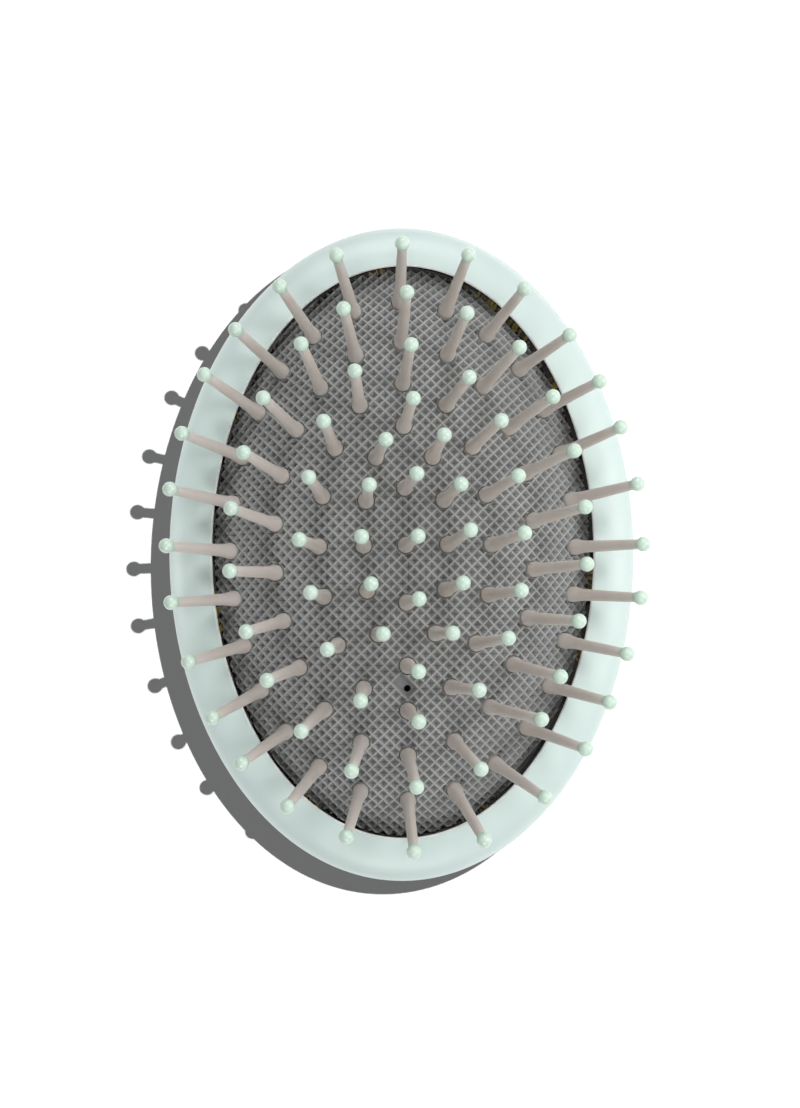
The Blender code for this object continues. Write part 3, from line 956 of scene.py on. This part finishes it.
def makeGlueLine():
    g = glueLine
    wall, top = bezel["undercut"], bezel["skirtTop"] + bezel["rise"]
    firstWall = wall * bezel["firstUndercut"]
    bead = [(g["inner"], g["foot"]), (g["outer"], g["foot"]), (g["outer"], g["head"])]
    # a thin near-black sheet also climbs the wall under the frame's edge, as painted shade in the gap
    shadeSheet = [
        (wall + g["sunk"], g["head"]),
        (wall + g["sunk"], top - g["bend"]),
        (firstWall + g["sunk"], top - g["tip"]),
        (firstWall - g["shadeSheet"], top - g["tip"] - g["slack"]),
        (wall - g["shadeSheet"], top - g["bend"] - 2 * g["slack"]),
        (wall - g["shadeSheet"], g["head"] + g["shadeSheetFoot"]),
    ]
    face = [
        (g["inner"] + g["shoulder"], g["head"]), (g["inner"] + g["round"], g["head"] - g["slack"]),
        (g["inner"], g["head"] - g["round"]),
    ]
    obj = sweepOval("glueLine", bead + shadeSheet + face, True, g["segments"])
    wet = obj.data.attributes.new("squeezed", "FLOAT", "POINT")
    for vert in obj.data.vertices:
        # the sheet on the wall stays as it is, painted near-black as shade
        if vert.co.z > (g["head"] + g["over"]) * mm:
            continue
        angle, edge, offset = fromOpening(vert.co)
        out = squeezeAt(math.degrees(angle))
        wet.data[vert.index].value = min(1.0, out * g["wetShare"])
        if offset < g["inner"] + g["moved"]:
            vert.co.xy -= edge.normalized() * out * g["outShare"] * mm
            if vert.co.z > (g["foot"] + g["over"]) * mm:
                vert.co.z += out * g["upShare"] * mm
    smoothByAngle(obj, 60)
    return obj


glueRing = makeGlueLine()
glueRing.data.materials.append(glue)
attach(glueRing, "housing")
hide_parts("adhesive_bead")
print("lip and glue made")

pinPieces = makePins(strips)
print("pins made:", len(pinPieces), "pieces")


# Stage, in metres: a pale floor, soft lights and the camera almost straight above
# The floor shows the shadow near the object and turns plain white farther out
stage = {"floorSize": 4.0, "floorTone": 0.10, "shadowTone": 0.13, "whiteFrom": 0.066, "whiteTo": 0.12}


def addSeenRays(nodes, links):
    # 1 for what the camera sees, straight or mirrored, and 0 for the light that falls on things
    path = nodes.new("ShaderNodeLightPath")
    total = path.outputs["Is Camera Ray"]
    for name in ("Is Glossy Ray", "Is Transmission Ray"):
        add = nodes.new("ShaderNodeMath")
        add.operation = "MAXIMUM"
        links.new(total, add.inputs[0])
        links.new(path.outputs[name], add.inputs[1])
        total = add.outputs["Value"]
    return total


def makeFloor():
    deselectAll()
    bpy.ops.mesh.primitive_plane_add(size=stage["floorSize"])
    floor = bpy.context.object
    floor.name = "floor"
    made = bpy.data.materials.new("paleFloor")
    made.use_nodes = True
    nodes, links = made.node_tree.nodes, made.node_tree.links
    nodes.clear()
    out = nodes.new("ShaderNodeOutputMaterial")
    both = nodes.new("ShaderNodeAddShader")
    matte = nodes.new("ShaderNodeBsdfDiffuse")
    matte.inputs["Color"].default_value = (stage["floorTone"],) * 3 + (1.0,)
    glow = nodes.new("ShaderNodeEmission")
    glow.inputs["Color"].default_value = (1.0, 1.0, 1.0, 1.0)
    place = nodes.new("ShaderNodeTexCoord")
    far = nodes.new("ShaderNodeVectorMath")
    far.operation = "LENGTH"
    links.new(place.outputs["Object"], far.inputs[0])
    span = (stage["whiteFrom"], stage["whiteTo"])
    tone = addRange(nodes, links, far.outputs["Value"], *span, stage["shadowTone"], 1.0)
    shown = nodes.new("ShaderNodeMath")
    shown.operation = "MULTIPLY"
    links.new(tone, shown.inputs[0])
    links.new(addSeenRays(nodes, links), shown.inputs[1])
    links.new(shown.outputs["Value"], glow.inputs["Strength"])
    links.new(matte.outputs["BSDF"], both.inputs[0])
    links.new(glow.outputs["Emission"], both.inputs[1])
    links.new(both.outputs["Shader"], out.inputs["Surface"])
    floor.data.materials.append(made)
    return floor


def addAreaLight(name, place, size, power):
    data = bpy.data.lights.new(name, "AREA")
    data.shape = "RECTANGLE"
    data.size, data.size_y = size
    data.energy = power
    obj = bpy.data.objects.new(name, data)
    bpy.context.scene.collection.objects.link(obj)
    obj.location = place
    obj.rotation_euler = (Vector(lightsAim) - Vector(place)).to_track_quat("-Z", "Y").to_euler()
    return obj


lights = {
    "rightKey": {"place": (0.25, 0.02, 0.31), "size": (0.18, 0.22), "power": 0.29},
    "rightSoftbox": {"place": (0.34, 0.045, 0.215), "size": (0.27, 0.36), "power": 0.42},
    "leftSoftbox": {"place": (-0.36, 0.0, 0.06), "size": (0.09, 0.34), "power": 0.45, "housingOnly": True},
    "farSoftbox": {"place": (0.0, 0.85, 0.3), "size": (0.8, 0.4), "power": 0.7},
    "farHigh": {"place": (0.0, 0.66, 0.62), "size": (0.5, 0.4), "power": 3.0},
    "nearSoftbox": {"place": (0.0, -0.85, 0.3), "size": (0.8, 0.4), "power": 0.5},
    "nearHigh": {"place": (0.0, -0.66, 0.62), "size": (0.5, 0.4), "power": 2.7},
}
lightsAim = (0, 0, 0.02)
room = {"light": 0.10, "tint": (0.96, 0.98, 1.0)}
floorLamp = {"across": 53.0, "along": 38.0, "power": 57.0, "radius": 1.5}


def makeLights(floor, place):
    softOnly = bpy.data.collections.new("litBySoftboxes")
    housingOnly = bpy.data.collections.new("litFromTheLeft")
    floorOnly = bpy.data.collections.new("litByLamp")
    floorOnly.objects.link(floor)
    for piece in (frontFrame, backShell):
        housingOnly.objects.link(piece)
    for obj in bpy.context.scene.objects:
        if obj.type == "MESH" and obj != floor:
            softOnly.objects.link(obj)
    for name, light in lights.items():
        made = addAreaLight(name, light["place"], light["size"], light["power"])
        made.light_linking.receiver_collection = housingOnly if light.get("housingOnly") else softOnly
    # one lamp up and to the right throws the object's shadow on the floor
    data = bpy.data.lights.new("floorLamp", "POINT")
    data.energy = floorLamp["power"]
    data.shadow_soft_size = floorLamp["radius"] * mm
    lamp = bpy.data.objects.new("floorLamp", data)
    bpy.context.scene.collection.objects.link(lamp)
    lamp.location = place @ Vector((floorLamp["across"] * mm, floorLamp["along"] * mm, 0))
    lamp.light_linking.receiver_collection = floorOnly


def makeWorld():
    world = bpy.data.worlds.new("studio")
    bpy.context.scene.world = world
    world.use_nodes = True
    nodes, links = world.node_tree.nodes, world.node_tree.links
    nodes.clear()
    out = nodes.new("ShaderNodeOutputWorld")
    choose = nodes.new("ShaderNodeMixShader")
    seen = nodes.new("ShaderNodeBackground")
    seen.inputs["Strength"].default_value = 1.0
    seen.inputs["Color"].default_value = (1.0, 1.0, 1.0, 1.0)
    soft = nodes.new("ShaderNodeBackground")
    soft.inputs["Color"].default_value = (*room["tint"], 1.0)
    soft.inputs["Strength"].default_value = room["light"]
    links.new(addSeenRays(nodes, links), choose.inputs["Fac"])
    links.new(soft.outputs["Background"], choose.inputs[1])
    links.new(seen.outputs["Background"], choose.inputs[2])
    links.new(choose.outputs["Shader"], out.inputs["Surface"])


view = {
    "aim": (0, 0, 22.8), "distance": 350.0, "leanX": -0.0864, "leanY": 0.05, "roll": -0.0055,
    "focalPixels": 2016.5, "longSide": 1108, "nudge": (2.7, -3.7),
}


def makeCamera():
    data = bpy.data.cameras.new("camera")
    camera = bpy.data.objects.new("camera", data)
    bpy.context.scene.collection.objects.link(camera)
    data.sensor_width = 36.0
    data.lens = view["focalPixels"] * data.sensor_width / view["longSide"]
    data.clip_start = 0.01
    data.clip_end = 20.0
    turn = Matrix.Rotation(view["roll"], 4, "Z")
    turn = turn @ Matrix.Rotation(view["leanY"], 4, "Y") @ Matrix.Rotation(view["leanX"], 4, "X")
    away = Matrix.Translation((0, 0, view["distance"] * mm))
    place = Matrix.Translation(Vector(view["aim"]) * mm) @ turn.inverted() @ away
    # a small turn of the camera brings the object to the photograph's place in the frame
    across, down = view["nudge"]
    swing = Matrix.Rotation(down / view["focalPixels"], 4, "X")
    swing = swing @ Matrix.Rotation(across / view["focalPixels"], 4, "Y")
    camera.matrix_world = place @ swing
    bpy.context.scene.camera = camera
    return place


floor = makeFloor()
cameraPlace = makeCamera()
makeLights(floor, cameraPlace)
makeWorld()
bpy.context.scene.view_settings.view_transform = "Standard"
bpy.context.view_layer.update()
print("stage set")
